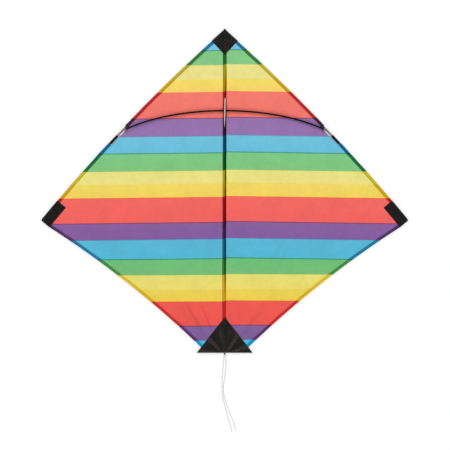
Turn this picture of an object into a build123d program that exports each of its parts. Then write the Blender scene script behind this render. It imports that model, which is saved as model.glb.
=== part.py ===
from build123d import *

import math
import os

# A diamond-shaped family kite, lying flat with its spreader side up. Millimetres.
# +Y runs to the nose, +X to the right wing tip and +Z up. The origin is on the surface it lies on,
# under the middle of its outline. The four rods and the sail share one plane, ROD_Z above that surface.

# Outline of the sail
SPAN = 999.0  # wing tip to wing tip, along the leading edges' outer side
HEIGHT = 880.0  # top of the nose patch to the foot of the tail patch
NOSE_Y = 438.6  # where the two leading edges would meet
TIP_Y = -80.0  # lower outer corner of each wing tip
LEADING_BOW = 14.2  # each leading edge bulges this far outwards
TRAILING_HOLLOW = 14.0  # each trailing edge curves this far inwards
FOOT_HALF = 49.0  # half the sail's width where the tail patch's foot cuts it off

# Rods, and the plane they lie in
ROD_Z = 4.4
ROD_R = 2.0
BORE_R = 2.15  # holes that a rod passes through
CAP_R = 2.8  # vinyl end caps
CAP_BORE_R = 2.05
CAP_LENGTH = 12.0
CAP_END = 2.0  # closed end of a cap

# Fabric
CLOTH = 0.3  # sail cloth
SEAM_GAP = 0.1  # between a sail panel's cut edge and its sleeve or hem
HEM_WIDTH = 8.5
HEM_THICK = 1.2
HEM_SHORT = (1.5, 3.0)  # how far the hem stops short of the tip pocket's corner and of the foot
SLEEVE_HALF = 4.5  # leading-edge sleeve, half its width, and the rod's inset from the edge
SLEEVE_RISE = 2.7
SPINE_HALF = 5.0
SPINE_RISE = 3.1
PATCH_WALL = 0.5  # black reinforcement cloth
PATCH_HALF_THICK = 1.2  # where the patch has only the sail inside it
PATCH_LAP = 0.7  # a patch's fold stands this far outside the sleeve that it covers
PATCH_SLACK = 0.2  # and its inner face this far
FOOT_GAP = 1.5  # the sail is cut this far above the tail patch's folded foot
FIT_GAP = 0.3  # between the spine's pieces and the wings'

# Stations along a leading edge, measured from the nose
ROD_START = 20.0
CAP_START = 18.0
UPPER_SLEEVE = (32.0, 376.5)
CONNECTOR = (384.0, 410.0)
STOPPER = (410.4, 440.0)
LOWER_SLEEVE = (441.0, 700.0)
CUTOUT = (377.0, 441.0)
CUTOUT_INSET = 12.0
TIP_CAP_END = 716.0
POCKET_LENGTH = 70.0
POCKET_WIDTH = 30.0

# Spine
SPINE_ROD = (-436.0, 430.0)
SPINE_SLEEVE = (-423.0, 416.0)

# Black patches
NOSE_PATCH_SIDE = (34.0, 407.0)
NOSE_PATCH_FOOT = 370.0
TAIL_PATCH_APEX = -343.0
TAIL_PATCH_HALF = 75.4
RIDGE_HALF = 5.9  # the patches rise over the spine
RIDGE_SHORT = 5.0  # the nose patch's ridge stops this far below its top
CHANNEL_HALF = 5.3  # room for the spine's sleeve inside the ridge
CHANNEL_RISE = 3.8

# Spreader, bowed towards the nose, lying over the spine
SPREADER_Z = ROD_Z + 6.0
SPREADER_APEX = 217.6
SPREADER_KNEE = (135.0, 207.9)
SPREADER_END = (273.0, 165.6)
SPREADER_CAP = (-9.0, 1.2)  # measured along the rod from its end
SPREADER_CAP_BORE_R = 2.2
SPREADER_CAP_FLOOR = 0.1
SOCKET = (-5.0, 3.0)
SOCKET_FLOOR = 1.4
SOCKET_R = 4.3
SOCKET_BORE_R = 3.1
CONNECTOR_R = 4.4
STOPPER_R = 3.8

# Keeper strap, sewn to the spine sleeve and passing over the spreader
KEEPER_WIDTH = 4.4
KEEPER_THICK = 0.7
KEEPER = (174.0, 254.0)
KEEPER_SEWN = 7.0  # length of each sewn end
KEEPER_PLAY = 0.2

# Tail ties: two loose strands from one knot
TIE_DIAMETER = 1.5
KNOT_R = 2.6
KNOT_CENTRE = (0.0, -442.7, 3.0)
TIE_LEFT = [
    (-1.3, -443.8, 2.6),
    (-2.6, -459.0, 1.3),
    (-4.6, -480.0, 0.9),
    (-7.0, -505.0, 0.8),
    (-8.2, -532.0, 0.8),
    (-6.6, -554.0, 0.8),
    (-1.7, -578.0, 0.8),
    (4.4, -602.0, 0.8),
    (12.7, -628.0, 0.8),
    (19.6, -654.5, 0.8),
]
TIE_RIGHT = [
    (1.3, -443.8, 2.6),
    (3.6, -457.0, 1.3),
    (3.7, -478.0, 0.9),
    (0.4, -503.0, 0.8),
    (-3.6, -528.0, 0.8),
    (-3.9, -547.0, 0.8),
    (1.2, -570.0, 0.8),
    (9.6, -594.0, 0.8),
    (20.2, -621.0, 0.8),
    (30.7, -649.4, 0.8),
]

HALF_SPAN = SPAN / 2
TOP_Y = HEIGHT / 2
FOOT_Y = -HEIGHT / 2
BIG = 600.0  # beyond the kite on every side, for cutting shapes
TOUCH = 0.01  # how far two joined shapes run into each other


class BowedEdge:
    """One side of the sail: a long shallow arc. A positive bow bulges out of the sail."""

    def __init__(self, start, end, bow):
        chord = Vector(end) - Vector(start)
        outward = Vector(-chord.Y, chord.X).normalized()
        self.bulge = math.copysign(1, bow)
        self.radius = chord.length**2 / (8 * abs(bow)) + abs(bow) / 2
        middle = (Vector(start) + Vector(end)) / 2
        self.centre = middle + outward * (bow - self.bulge * self.radius)
        first = Vector(start) - self.centre
        self.first_angle = math.atan2(first.Y, first.X)
        self.length = 2 * self.radius * math.asin(chord.length / 2 / self.radius)

    def outward(self, station):
        """Unit vector away from the arc's centre at a distance along the edge."""
        angle = self.first_angle - self.bulge * station / self.radius
        return Vector(math.cos(angle), math.sin(angle))

    def point(self, station, inset=0.0):
        """The point that far along the edge and that far inside the sail."""
        return self.centre + self.outward(station) * (self.radius - self.bulge * inset)

    def band(self, stations, insets):
        """A flat strip along the edge, between two stations and two insets."""
        near, far = stations
        middle = (near + far) / 2
        sides = []
        for inset in insets:
            points = [self.point(s, inset) for s in (near, middle, far)]
            sides.append(ThreePointArc(*points))
        ends = [Line(sides[0] @ at, sides[1] @ at) for at in (0, 1)]
        return make_face(sides + ends)

    def along(self, section, stations, inset=0.0, z=ROD_Z):
        """A section, drawn with +X to the inside of the sail and +Y up, carried along the edge."""
        near, far = stations
        origin = self.point(near, inset) + Vector(0, 0, z)
        inside = self.outward(near) * -self.bulge
        plane = Plane(origin, x_dir=inside, z_dir=inside.cross(Vector(0, 0, 1)))
        turn = Axis(self.centre, (0, 0, -self.bulge))
        angle = math.degrees((far - near) / self.radius)
        return revolve(plane * section, axis=turn, revolution_arc=angle)


LEADING = BowedEdge((0, NOSE_Y), (HALF_SPAN, TIP_Y), LEADING_BOW)
TIP_INNER = LEADING.point(LEADING.length, POCKET_WIDTH)
TRAILING = BowedEdge(TIP_INNER, (FOOT_HALF, FOOT_Y), -TRAILING_HOLLOW)


def ring(outer, inner):
    """A round tube's section."""
    return Circle(outer) - Circle(inner)


def slab(face, half_thick, z=ROD_Z):
    """A flat face made into a plate whose middle is at z."""
    return extrude(Pos(0, 0, z - half_thick) * face, 2 * half_thick)


def along_y(section, ends, z=ROD_Z):
    """A section, drawn with +X across and +Y up, carried along the spine."""
    plane = Plane((0, ends[0], z), x_dir=(-1, 0, 0), z_dir=(0, 1, 0))
    return extrude(plane * section, ends[1] - ends[0])


def block(x, y, z):
    """A box from its three ranges."""
    size = [hi - lo for lo, hi in (x, y, z)]
    centre = [(hi + lo) / 2 for lo, hi in (x, y, z)]
    return Pos(*centre) * Box(*size)


# Spine: rod, sleeve and end caps


def spine_rod():
    return along_y(Circle(ROD_R), SPINE_ROD)


def spine_sleeve():
    return along_y(Ellipse(SPINE_HALF, SPINE_RISE) - Circle(BORE_R), SPINE_SLEEVE)


def spine_cap(end, inward):
    """A vinyl cap over one end of the rod. inward is 1 at the tail and -1 at the nose."""
    shell = sorted((end - inward * CAP_END, end + inward * (CAP_LENGTH - CAP_END)))
    hole = sorted((end, end + inward * CAP_LENGTH))
    return along_y(Circle(CAP_R), shell) - along_y(Circle(CAP_BORE_R), hole)


# Wing, right-hand side


def sail_panel():
    corners = [LEADING.point(LEADING.length), TIP_INNER]
    foot = [(FOOT_HALF, FOOT_Y), (0, FOOT_Y), (0, NOSE_Y)]
    outline = make_face(
        [
            ThreePointArc((0, NOSE_Y), LEADING.point(LEADING.length / 2), corners[0]),
            Line(*corners),
            ThreePointArc(corners[1], TRAILING.point(TRAILING.length / 2), foot[0]),
            Polyline(*foot),
        ]
    )
    reach = 2 * POCKET_WIDTH
    leading, trailing = [(-reach, edge.length + reach) for edge in (LEADING, TRAILING)]
    sleeve_side = LEADING.band(leading, (-reach, 2 * SLEEVE_HALF + SEAM_GAP))
    notch = LEADING.band(CUTOUT, (0, CUTOUT_INSET))
    hem_side = TRAILING.band(trailing, (-reach, HEM_WIDTH + SEAM_GAP))
    spine_side = Rectangle(2 * (SPINE_HALF + FIT_GAP), 2 * BIG)
    foot_side = Pos(0, FOOT_Y) * Rectangle(2 * BIG, 2 * FOOT_GAP)
    return slab(outline - sleeve_side - notch - hem_side - spine_side - foot_side, CLOTH / 2)


def leading_edge_rod():
    return LEADING.along(Circle(ROD_R), (ROD_START, TIP_CAP_END - CAP_END), SLEEVE_HALF)


def leading_edge_sleeve(stations):
    section = Ellipse(SLEEVE_HALF, SLEEVE_RISE) - Circle(BORE_R)
    return LEADING.along(section, stations, SLEEVE_HALF)


def leading_edge_cap(shell, hole):
    """A vinyl cap on the leading-edge rod. shell and hole are pairs of stations."""
    cap = LEADING.along(Circle(CAP_R), shell, SLEEVE_HALF)
    return cap - LEADING.along(Circle(CAP_BORE_R), hole, SLEEVE_HALF)


def trailing_edge_hem():
    """A folded hem from the tip pocket's corner to the spine's side of the tail patch."""
    strip = TRAILING.band((HEM_SHORT[0], TRAILING.length - HEM_SHORT[1]), (0, HEM_WIDTH))
    return slab(strip, HEM_THICK / 2)


def pocket_section(half_width, half_height, edge_half):
    """Round over the rod, then straight down to the pocket's thin inner edge."""
    top, bottom = (0, half_height), (0, -half_height)
    inner = POCKET_WIDTH - SLEEVE_HALF
    nose = Ellipse(half_width, half_height) & Pos(-half_width / 2, 0) * Rectangle(
        half_width, 2 * half_height
    )
    flank = make_face(Polyline(top, (inner, edge_half), (inner, -edge_half), bottom, close=True))
    return nose + flank


def tip_pocket():
    """Cloth folded over the leading edge, open at its upper end and along the sail."""
    outer = pocket_section(SLEEVE_HALF + PATCH_LAP, ROD_Z, PATCH_HALF_THICK)
    gap = PATCH_HALF_THICK - PATCH_WALL
    inner = pocket_section(SLEEVE_HALF + PATCH_SLACK, ROD_Z - PATCH_WALL, gap)
    mouth = LEADING.length - POCKET_LENGTH
    shell = LEADING.along(outer, (mouth, LEADING.length), SLEEVE_HALF)
    hollow = LEADING.along(inner, (mouth - 1, LEADING.length - PATCH_WALL), SLEEVE_HALF)
    return shell - hollow


# Spreader and what holds it


def spreader_half():
    """The right half of the spreader's line: two arcs that share a tangent."""
    apex = Vector(0, SPREADER_APEX, SPREADER_Z)
    knee = Vector(*SPREADER_KNEE, SPREADER_Z)
    end = Vector(*SPREADER_END, SPREADER_Z)
    crown = TangentArc(apex, knee, tangent=(1, 0, 0))
    flank = TangentArc(knee, end, tangent=crown % 1)
    return crown, flank


def spreader_rod():
    crown, flank = spreader_half()
    right = Wire([crown, flank])
    start = Plane(right @ 0, z_dir=right % 0)
    half = sweep(start * Circle(ROD_R), path=right)
    return half + mirror(half, about=Plane.YZ)


def on_spreader_end(radius, reach):
    """A cylinder in line with the spreader's right end, between two distances from that end."""
    flank = spreader_half()[1]
    end = Plane(flank @ 1, z_dir=flank % 1)
    return extrude(end.offset(reach[0]) * Circle(radius), reach[1] - reach[0])


def spreader_cap():
    cap = on_spreader_end(CAP_R, SPREADER_CAP)
    return cap - on_spreader_end(SPREADER_CAP_BORE_R, (-CAP_LENGTH, SPREADER_CAP_FLOOR))


def spreader_connector():
    """A soft tube on the leading-edge rod, with a blind socket above it for the spreader's end."""
    near, far = CONNECTOR
    body = LEADING.along(Circle(CONNECTOR_R), CONNECTOR, SLEEVE_HALF)
    body += on_spreader_end(SOCKET_R, SOCKET)
    body -= LEADING.along(Circle(BORE_R), (near - POCKET_WIDTH, far + 1), SLEEVE_HALF)
    return body - on_spreader_end(SOCKET_BORE_R, (SOCKET[0] - 1, SOCKET_FLOOR))


def connector_stopper():
    return LEADING.along(ring(STOPPER_R, BORE_R), STOPPER, SLEEVE_HALF)


def keeper_loop():
    """A strap sewn down at both ends and drawn straight over the spreader."""
    low = ROD_Z + SPINE_RISE + KEEPER_PLAY / 2
    clear = ROD_R + KEEPER_PLAY

    def tent(radius, ends, foot):
        over = CenterArc((SPREADER_APEX, SPREADER_Z), radius, 0, 180)
        return make_hull([over, Line((ends[0], foot), (ends[1], foot))])

    sewn = (KEEPER[0] + KEEPER_SEWN, KEEPER[1] - KEEPER_SEWN)
    side = tent(clear + KEEPER_THICK, sewn, low + KEEPER_THICK) - tent(clear, sewn, low)
    for end, inner in zip(KEEPER, sewn):
        foot = Rectangle(KEEPER_SEWN + TOUCH, KEEPER_THICK)
        side += Pos((end + inner) / 2, low + KEEPER_THICK / 2) * foot
    return extrude(Plane.YZ * side, KEEPER_WIDTH / 2, both=True)


# Black patches, folded over the nose and the tail


def nose_patch():
    """A diamond folded over the nose. It rises over the spine and over both leading edges."""
    side, side_y = NOSE_PATCH_SIDE
    reach = 2 * side
    slope = (side_y - NOSE_PATCH_FOOT) / side
    lower = [(reach, NOSE_PATCH_FOOT + slope * reach), (reach, TOP_Y)]
    lower += [(-x, y) for x, y in reversed(lower)]
    bounds = make_face(Polyline((0, NOSE_PATCH_FOOT), *lower, close=True))

    diamond = Polyline((0, TOP_Y), (side, side_y), (0, NOSE_PATCH_FOOT), (-side, side_y), close=True)
    patch = slab(make_face(diamond), PATCH_HALF_THICK)
    ridge_end = TOP_Y - RIDGE_SHORT
    patch += along_y(Ellipse(RIDGE_HALF, ROD_Z), (NOSE_PATCH_FOOT, ridge_end))
    length = math.hypot(side, TOP_Y - side_y)
    fold = Ellipse(SLEEVE_HALF + PATCH_LAP, SLEEVE_RISE + 2 * PATCH_WALL)
    over_edge = LEADING.along(fold, (CAP_START / 2, length + 6), SLEEVE_HALF)
    patch = (patch + over_edge + mirror(over_edge, about=Plane.YZ)) & slab(bounds, ROD_Z)

    fold_y = side_y - 1
    skirt = [(side, fold_y), (reach, side_y - reach), (-reach, side_y - reach), (-side, fold_y)]
    inner = make_face(Polyline((0, TOP_Y - 1), *skirt, close=True))
    patch -= slab(inner, PATCH_HALF_THICK - PATCH_WALL)
    channel = Ellipse(CHANNEL_HALF, CHANNEL_RISE)
    patch -= along_y(channel, (NOSE_PATCH_FOOT - 1, ridge_end - 1))
    around_sleeve = Ellipse(SLEEVE_HALF + PATCH_SLACK, SLEEVE_RISE + PATCH_WALL)
    tunnel = LEADING.along(around_sleeve, (CAP_START - 2, length + 7), SLEEVE_HALF)
    return patch - tunnel - mirror(tunnel, about=Plane.YZ)


def tail_patch():
    """A triangle folded at its foot. It stands flat on the ridge under the spine."""
    corners = [(0, TAIL_PATCH_APEX), (TAIL_PATCH_HALF, FOOT_Y), (-TAIL_PATCH_HALF, FOOT_Y)]
    triangle = make_face(Polyline(*corners, close=True))
    ridge_face = triangle & Pos(0, FOOT_Y) * Rectangle(2 * RIDGE_HALF, HEIGHT)
    patch = slab(triangle, PATCH_HALF_THICK) + slab(ridge_face, ROD_Z)
    inside_y = (FOOT_Y + PATCH_WALL, TAIL_PATCH_APEX + 1)
    gap = PATCH_HALF_THICK - PATCH_WALL
    rise = ROD_Z - PATCH_WALL
    patch -= block((-BIG, BIG), inside_y, (ROD_Z - gap, ROD_Z + gap))
    return patch - block((-CHANNEL_HALF, CHANNEL_HALF), inside_y, (ROD_Z - rise, ROD_Z + rise))


# Tail ties


def tie_tube(route):
    """The strand's tube: straight runs joined by the largest arcs that they allow."""
    points = [Vector(p) for p in route]
    radii = []
    for before, here, after in zip(points, points[1:], points[2:]):
        run, following = here - before, after - here
        half_turn = math.radians(run.get_angle(following)) / 2
        radii.append(0.45 * min(run.length, following.length) / math.tan(half_turn))
    path = FilletPolyline(*points, radius=radii)
    start = Plane(path @ 0, z_dir=path % 0)
    section = Circle(TIE_DIAMETER / 2)
    tube = sweep(start * section, path=path)
    print("tie length", round(path.length, 1), "radii", [round(r) for r in radii])
    print("tie volume over section times length", tube.volume / (path.length * section.area))
    return tube


def save(name, shape):
    export_step(Compound(children=shape.solids()), f"parts/{name}.step")


def main():
    os.makedirs("parts", exist_ok=True)
    centre = {
        "spine_rod": spine_rod(),
        "spine_sleeve": spine_sleeve(),
        "spine_cap_nose": spine_cap(SPINE_ROD[1], -1),
        "spine_cap_tail": spine_cap(SPINE_ROD[0], 1),
        "nose_patch": nose_patch(),
        "tail_patch": tail_patch(),
        "spreader_rod": spreader_rod(),
        "keeper_loop": keeper_loop(),
        "tail_tie_knot": Pos(*KNOT_CENTRE) * Sphere(KNOT_R),
        "tail_tie_left": tie_tube(TIE_LEFT),
        "tail_tie_right": tie_tube(TIE_RIGHT),
    }
    nose_cap = leading_edge_cap(
        (CAP_START, CAP_START + CAP_LENGTH),
        (ROD_START, UPPER_SLEEVE[0]),
    )
    tip_cap = leading_edge_cap(
        (TIP_CAP_END - CAP_LENGTH, TIP_CAP_END),
        (LOWER_SLEEVE[1], TIP_CAP_END - CAP_END),
    )
    wing = {
        "sail_panel": sail_panel(),
        "leading_edge_rod": leading_edge_rod(),
        "leading_edge_sleeve_upper": leading_edge_sleeve(UPPER_SLEEVE),
        "leading_edge_sleeve_lower": leading_edge_sleeve(LOWER_SLEEVE),
        "leading_edge_cap_nose": nose_cap,
        "leading_edge_cap_tip": tip_cap,
        "trailing_edge_hem": trailing_edge_hem(),
        "tip_pocket": tip_pocket(),
        "spreader_connector": spreader_connector(),
        "connector_stopper": connector_stopper(),
        "spreader_cap": spreader_cap(),
    }
    for name, shape in centre.items():
        save(name, shape)
    for name, shape in wing.items():
        save(f"{name}_right", shape)
        save(f"{name}_left", mirror(shape, about=Plane.YZ))


main()
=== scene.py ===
import math

import bmesh
import bpy
import numpy as np
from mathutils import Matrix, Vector


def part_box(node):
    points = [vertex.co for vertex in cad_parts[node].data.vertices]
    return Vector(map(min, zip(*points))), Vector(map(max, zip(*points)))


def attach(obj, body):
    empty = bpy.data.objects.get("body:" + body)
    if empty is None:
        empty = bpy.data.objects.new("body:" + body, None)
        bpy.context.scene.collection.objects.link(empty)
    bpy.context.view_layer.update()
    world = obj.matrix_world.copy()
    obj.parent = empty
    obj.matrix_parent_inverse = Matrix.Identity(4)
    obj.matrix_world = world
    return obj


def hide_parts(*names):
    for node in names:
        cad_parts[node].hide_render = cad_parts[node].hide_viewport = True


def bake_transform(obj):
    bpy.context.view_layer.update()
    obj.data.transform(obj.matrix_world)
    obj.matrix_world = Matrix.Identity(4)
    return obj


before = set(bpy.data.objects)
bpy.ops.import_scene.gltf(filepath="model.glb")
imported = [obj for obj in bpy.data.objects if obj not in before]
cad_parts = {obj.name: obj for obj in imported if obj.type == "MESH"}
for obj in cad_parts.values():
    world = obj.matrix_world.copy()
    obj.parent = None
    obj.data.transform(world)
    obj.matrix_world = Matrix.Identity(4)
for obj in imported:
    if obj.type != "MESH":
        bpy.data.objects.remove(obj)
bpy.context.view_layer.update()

# A diamond-shaped family kite that lies with its spreader side up. The shapes are worked out in
# millimetres, in the frame of the CAD, and mesh_piece() turns them into metres.
MM = 0.001
RIGHT, LEFT = 1, -1
SIDE_NAMES = {RIGHT: "right", LEFT: "left"}

spine_low, spine_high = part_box("spine_rod")
ROD_R = (spine_high.x - spine_low.x) / 2 / MM
ROD_Z = (spine_high.z + spine_low.z) / 2 / MM
TOP_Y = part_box("nose_patch")[1].y / MM
FOOT_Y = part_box("tail_patch")[0].y / MM

# Outline of the sail, as in the CAD
NOSE_Y = 438.6
HALF_SPAN = 499.5
TIP_Y = -80.0
LEADING_BOW = 14.2
TRAILING_HOLLOW = 14.0
FOOT_HALF = 49.0
ROD_INSET = 4.5  # from a leading edge to the middle of its rod

# Stations along a leading edge, from the nose
UPPER_SLEEVE = (32.0, 376.5)
LOWER_SLEEVE = (441.0, 700.0)
CUTOUT = (377.0, 410.0, 441.0)  # the gap between the sleeves: beside the connector, then the stopper
CUTOUT_INSETS = (10.4, 9.0)
TIP_CAP_END = 716.0
POCKET_LENGTH = 70.0
POCKET_WIDTH = 30.0

# Cloth
CLOTH = 0.24
PATCH_CLOTH = 0.45
SLEEVE_TAB = 9.0  # a sleeve's stitched edge, from the leading edge
SAIL_INSET = 7.6  # the sail runs in under the sleeve's edge
HEM_WIDTH = 8.2
HEM_SAIL_INSET = 6.8
SPINE_SLEEVE = (-423.0, 416.0)
SPINE_SLEEVE_HALF = 4.95
SPINE_DRIFT = (-0.95, 0.0033)  # how far right the spine's sleeve sits at y = 0, and its slope
SPINE_SAIL_X = 2.9
FOLD = (5.0, 11.0)  # two distances from the spine, in mm, given to bend() for the sail and patches

# Patches
NOSE_SIDE = (34.3, 407.0)
NOSE_FOOT = 370.0
TAIL_APEX = -343.0
TAIL_HALF = 76.0
PATCH_GAP = 0.72  # from the sail to a patch's cloth

# Spreader
SPREADER_Z = ROD_Z + 6.0
SPREADER_R = 2.3
SPREADER_APEX = 217.6
SPREADER_KNEE = (135.0, 206.6)
SPREADER_END = (273.0, 165.6)
SPREADER_BEND_END = 28.0  # given to bend() for the spreader

# Keeper strap
KEEPER = (174.0, 254.0)
KEEPER_SEWN = 7.0
KEEPER_HALF = 1.5
KEEPER_THICK = 0.5
KEEPER_DRIFT = (-0.5, 1.3)  # how far right its foot sits, and how much further its top

# Tail ties, the CAD's routes in metres
TIE_DIAMETER = 0.0015
TIE_LEFT = [
    (-0.0013, -0.4438, 0.0026),
    (-0.0026, -0.4590, 0.0013),
    (-0.0046, -0.4800, 0.0009),
    (-0.0070, -0.5050, 0.0008),
    (-0.0082, -0.5320, 0.0008),
    (-0.0066, -0.5540, 0.0008),
    (-0.0017, -0.5780, 0.0008),
    (0.0044, -0.6020, 0.0008),
    (0.0127, -0.6280, 0.0008),
    (0.0196, -0.6545, 0.0008),
]
TIE_RIGHT = [
    (0.0013, -0.4438, 0.0026),
    (0.0036, -0.4570, 0.0013),
    (0.0037, -0.4780, 0.0009),
    (0.0004, -0.5030, 0.0008),
    (-0.0036, -0.5280, 0.0008),
    (-0.0039, -0.5470, 0.0008),
    (0.0012, -0.5700, 0.0008),
    (0.0096, -0.5940, 0.0008),
    (0.0202, -0.6210, 0.0008),
    (0.0307, -0.6494, 0.0008),
]

rng = np.random.default_rng(7)


# Camera: straight above the kite, which fills the upper part of the view


def make_camera():
    data = bpy.data.cameras.new("camera")
    camera = bpy.data.objects.new("camera", data)
    bpy.context.scene.collection.objects.link(camera)
    data.lens = 100
    data.sensor_width = 36
    view_width = 1.2228
    distance = view_width * data.lens / data.sensor_width
    camera.location = (0.0007, -0.0927, distance + 0.005)
    bpy.context.scene.camera = camera


# Material nodes


def srgb(red, green, blue):
    """A screen colour, 0 to 255, as linear RGBA."""
    linear = [
        c / 12.92 if c <= 0.04045 else ((c + 0.055) / 1.055) ** 2.4
        for c in (red / 255, green / 255, blue / 255)
    ]
    return (*linear, 1.0)


class Material:
    """A Principled material, and short ways to add the nodes that feed it."""

    def __init__(self, name, **values):
        self.made = bpy.data.materials.new(name)
        self.made.use_nodes = True
        self.tree = self.made.node_tree
        self.tree.nodes.clear()
        output = self.tree.nodes.new("ShaderNodeOutputMaterial")
        self.shader = self.tree.nodes.new("ShaderNodeBsdfPrincipled")
        self.link(self.shader.outputs["BSDF"], output.inputs["Surface"])
        for name, value in values.items():
            self.shader.inputs[name.replace("_", " ")].default_value = value

    def link(self, source, target):
        self.tree.links.new(source, target)

    def node(self, kind, inputs, **settings):
        made = self.tree.nodes.new(kind)
        for name, value in settings.items():
            setattr(made, name, value)
        for key, value in inputs.items():
            if isinstance(value, bpy.types.NodeSocket):
                self.link(value, made.inputs[key])
            else:
                made.inputs[key].default_value = value
        return made

    def maths(self, operation, *values, clamp=False):
        inputs = dict(enumerate(values))
        made = self.node("ShaderNodeMath", inputs, operation=operation, use_clamp=clamp)
        return made.outputs[0]

    def times(self, first, *others):
        for other in others:
            first = self.maths("MULTIPLY", first, other)
        return first

    def between(self, value, low, high, out_low=0.0, out_high=1.0):
        """A smooth step from out_low to out_high while value goes from low to high."""
        names = ("Value", "From Min", "From Max", "To Min", "To Max")
        inputs = dict(zip(names, (value, low, high, out_low, out_high)))
        made = self.node("ShaderNodeMapRange", inputs, interpolation_type="SMOOTHSTEP")
        return made.outputs["Result"]

    def mix(self, factor, first, second, blend="MIX"):
        made = self.tree.nodes.new("ShaderNodeMix")
        made.data_type = "RGBA"
        made.blend_type = blend
        for index, value in ((0, factor), (6, first), (7, second)):
            if isinstance(value, bpy.types.NodeSocket):
                self.link(value, made.inputs[index])
            else:
                made.inputs[index].default_value = value
        return made.outputs[2]

    def position(self):
        """The point's x, y and z at rest, in metres, and the vector itself."""
        vector = self.node("ShaderNodeTexCoord", {}).outputs["Object"]
        split = self.node("ShaderNodeSeparateXYZ", {0: vector})
        return vector, split.outputs[0], split.outputs[1], split.outputs[2]

    def noise(self, vector, scale, detail=2.0, roughness=0.5):
        inputs = {"Vector": vector, "Scale": scale, "Detail": detail, "Roughness": roughness}
        return self.node("ShaderNodeTexNoise", inputs).outputs["Fac"]

    def weave(self, vector, pitch):
        """Height of a plain weave: two crossing sets of threads."""
        turns = {"wave_type": "BANDS", "wave_profile": "SIN"}
        sets = []
        for direction in "XY":
            inputs = {"Vector": vector, "Scale": 0.314 / pitch, "Distortion": 0.4}
            wave = self.node("ShaderNodeTexWave", inputs, bands_direction=direction, **turns)
            sets.append(wave.outputs["Fac"])
        return self.maths("MAXIMUM", *sets)

    def bump(self, height, strength, distance):
        inputs = {"Height": height, "Strength": strength, "Distance": distance}
        made = self.node("ShaderNodeBump", inputs)
        self.link(made.outputs["Normal"], self.shader.inputs["Normal"])

    def colour(self, value):
        self.link(value, self.shader.inputs["Base Color"])

    def colours(self, value, low, high, dark, light):
        """Base colour from dark to light while value goes from low to high."""
        self.colour(self.mix(self.between(value, low, high), dark, light))

    def roughness(self, value, low, high, smoothest, roughest):
        rough = self.between(value, low, high, smoothest, roughest)
        self.link(rough, self.shader.inputs["Roughness"])


# The sail's stripes: upper edge on the right panel in mm, then the colour at its top and its bottom,
# first of the single cloth, then where it is doubled. The doubled colours are painted shade: darker and
# richer, as light through two layers makes them.
STRIPES = [
    (500.0, (132, 202, 240), (120, 192, 230), (16, 124, 184), (24, 118, 160)),
    (385.6, (130, 200, 132), (132, 200, 134), (44, 118, 62), (54, 124, 54)),
    (345.6, (236, 228, 138), (237, 225, 138), (190, 180, 36), (196, 176, 34)),
    (305.6, (247, 221, 102), (247, 214, 104), (206, 164, 16), (206, 160, 12)),
    (271.8, (247, 122, 109), (244, 119, 108), (190, 42, 42), (180, 38, 42)),
    (202.0, (151, 112, 172), (149, 115, 175), (72, 32, 62), (70, 32, 66)),
    (152.8, (111, 194, 222), (106, 191, 221), (0, 98, 140), (0, 102, 142)),
    (107.9, (125, 200, 134), (128, 198, 128), (6, 106, 70), (20, 112, 52)),
    (58.9, (233, 226, 130), (237, 225, 132), (202, 190, 34), (206, 184, 32)),
    (23.5, (241, 218, 98), (243, 213, 92), (210, 168, 10), (210, 164, 8)),
    (-13.2, (244, 104, 94), (243, 99, 93), (186, 26, 24), (170, 24, 24)),
    (-81.4, (136, 95, 158), (132, 92, 160), (72, 42, 84), (76, 46, 98)),
    (-127.1, (88, 183, 213), (84, 184, 213), (20, 112, 144), (18, 112, 152)),
    (-179.9, (109, 192, 120), (117, 190, 121), (54, 126, 66), (60, 130, 56)),
    (-224.8, (229, 222, 115), (236, 220, 108), (206, 176, 30), (208, 172, 28)),
    (-265.5, (236, 212, 86), (240, 208, 76), (200, 164, 10), (200, 162, 8)),
    (-297.3, (240, 89, 80), (238, 86, 79), (186, 40, 38), (184, 36, 38)),
    (-363.2, (132, 98, 156), (126, 92, 148), (88, 46, 100), (84, 42, 100)),
    (-403.0, (84, 184, 214), (84, 184, 214), (0, 136, 190), (0, 136, 190)),
]
SEAM_BLUR = 0.4  # width in mm over which one stripe turns into the next
LEFT_DROP = 2.6  # the left panel's stripes are sewn this much lower
DROOP = {RIGHT: 0.0145, LEFT: 0.0115}  # how fast they fall towards the wing tips
CLOTH_TONE = 0.8


def hue_of(colour):
    """A stripe's colour in one word."""
    red, green, blue = colour
    if red > 200:
        return "yellow" if green > 180 else "red"
    if green < 150:
        return "purple"
    return "blue" if blue > green else "green"


# How far each colour laps over the stripe below it, in mm, and how strongly it shows through: the lap is
# painted shade, a darker band as light through both layers would give
SEAMS = {
    "red": (2.3, 0.72),
    "purple": (1.3, 0.6),
    "blue": (2.8, 0.9),
    "green": (0.8, 0.8),
    "yellow": (0.8, 0.8),
}


def stripe_height(m, x, y):
    """How high on the striped cloth a point is, in mm."""
    on_left = m.between(x, 0.004, -0.004)
    rate = m.maths("MULTIPLY_ADD", on_left, DROOP[LEFT] - DROOP[RIGHT], DROOP[RIGHT])
    rate = m.times(rate, m.between(y, -0.24, -0.17, 0.35, 1.0))
    droop = m.times(m.maths("ABSOLUTE", x), rate)
    droop = m.maths("MULTIPLY_ADD", on_left, LEFT_DROP * MM, droop)
    return m.maths("DIVIDE", m.maths("ADD", y, droop), MM)


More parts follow.
